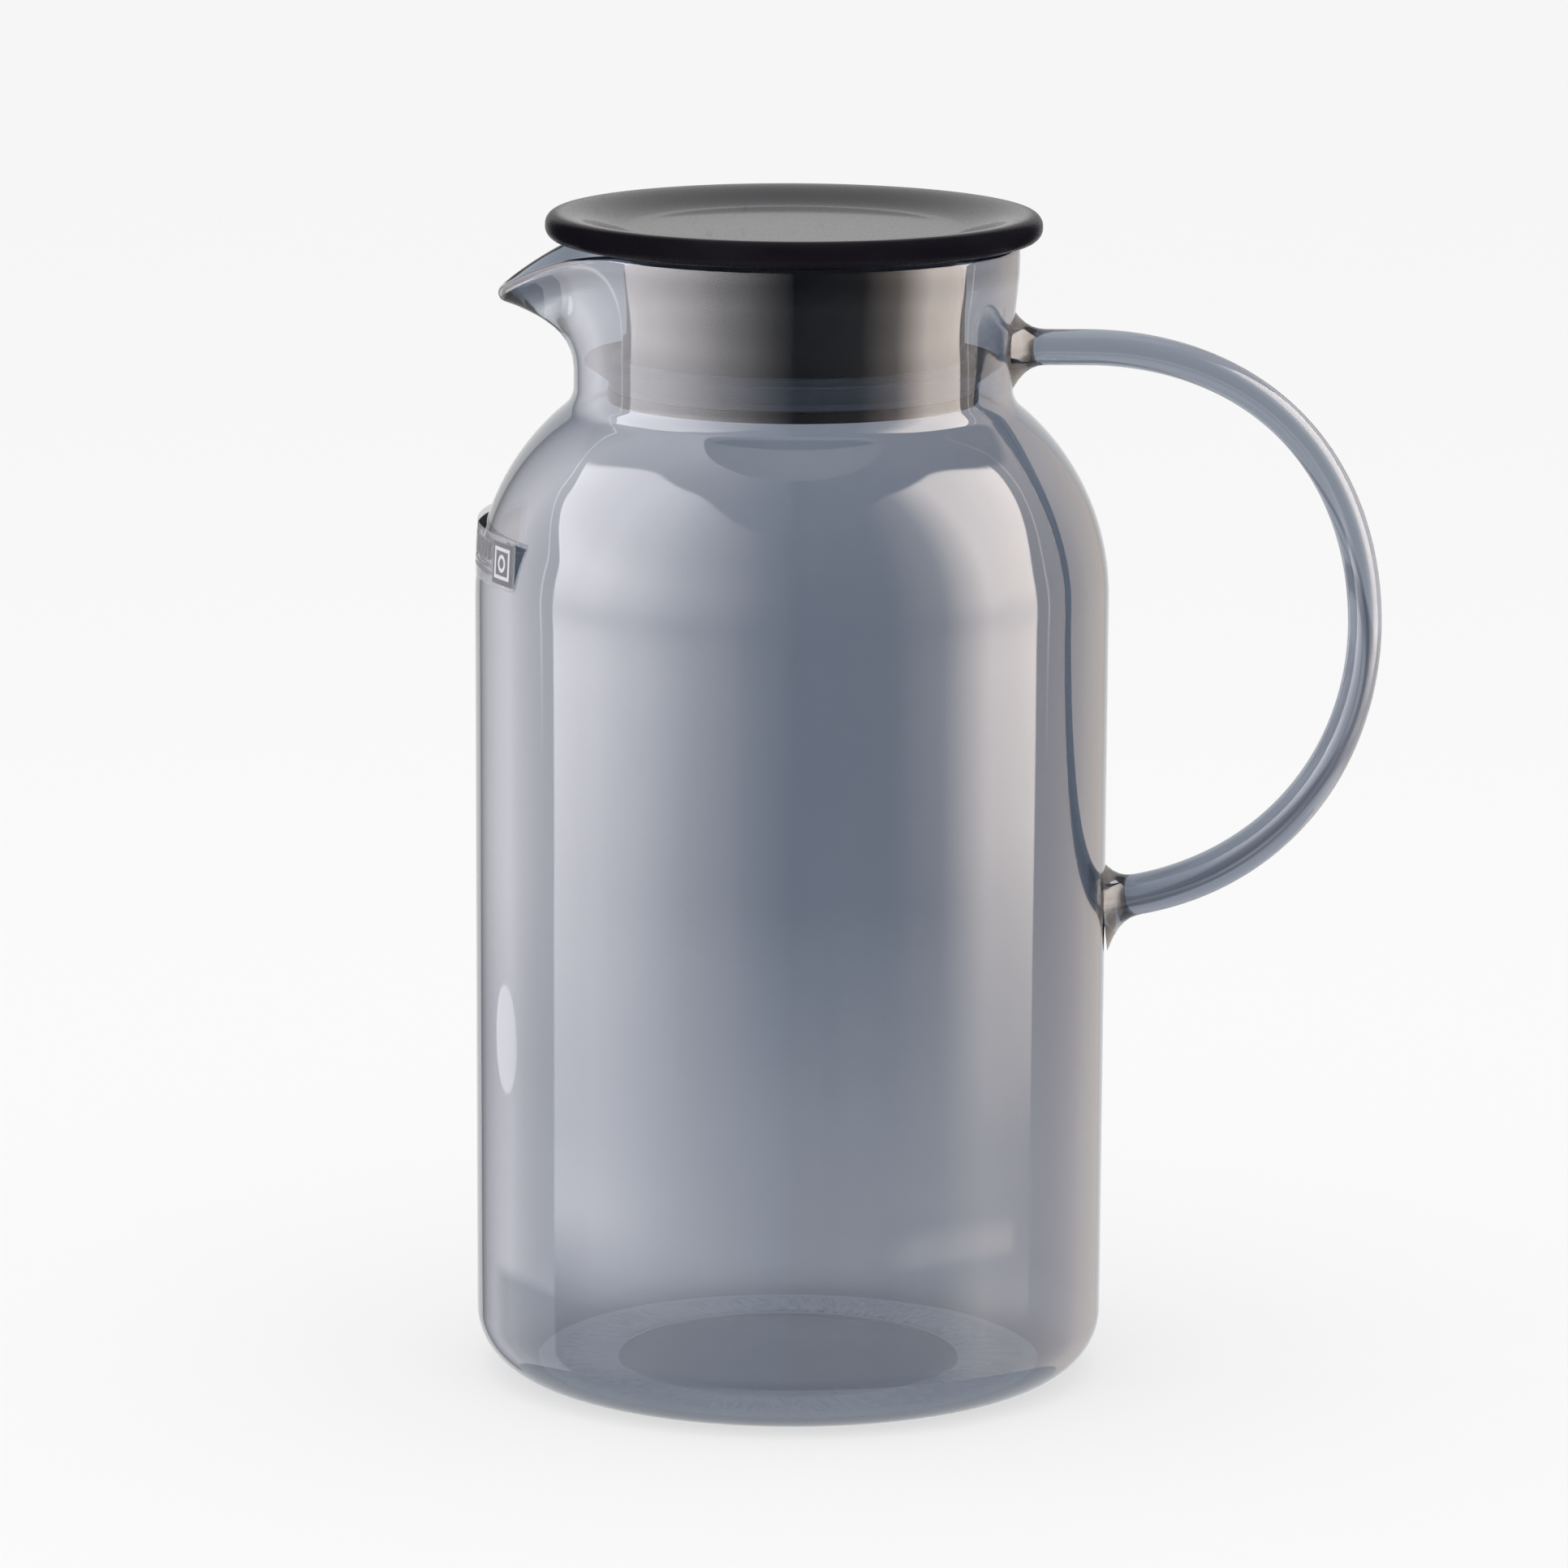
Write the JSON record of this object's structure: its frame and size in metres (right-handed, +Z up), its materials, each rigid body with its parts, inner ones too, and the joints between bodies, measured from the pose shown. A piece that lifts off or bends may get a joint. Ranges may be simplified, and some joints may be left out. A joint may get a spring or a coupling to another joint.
{
  "type": "water jug",
  "caption": "Tall smoke-grey glass water jug with a pulled spout, a round rod handle and a flat dished lift-off lid on a sealed plug.",
  "frame": {"origin": "centre of the foot ring, on the surface the jug stands on, on the jug's own axis", "axes": "+Z up along the jug's axis, +X towards the handle, -X towards the spout"},
  "size_m": [0.1787, 0.1248, 0.2314],
  "materials": {
    "smoke_glass": "clear smoke-grey borosilicate, fire polished",
    "lid_plastic": "dark smoke, high gloss",
    "seal_silicone": "translucent grey silicone",
    "label_film": "clear film printed in grey"
  },
  "bodies": {
    "jug": {"glass_body": "smoke_glass", "glass_handle": "smoke_glass", "side_label": "label_film"},
    "seal": {"seal_ring": "seal_silicone"},
    "lid": {"lid_cover": "lid_plastic", "lid_plug": "lid_plastic"}
  },
  "joints": [
    {"name": "lid_lift", "type": "slide", "parent": "jug", "child": "seal", "axis": [0, 0, 1], "range_m": [0, 0.08]},
    {"name": "lid_turn", "type": "hinge", "parent": "seal", "child": "lid", "pos_m": [0, 0, 0.21], "axis": [0, 0, 1], "continuous": true}
  ]
}
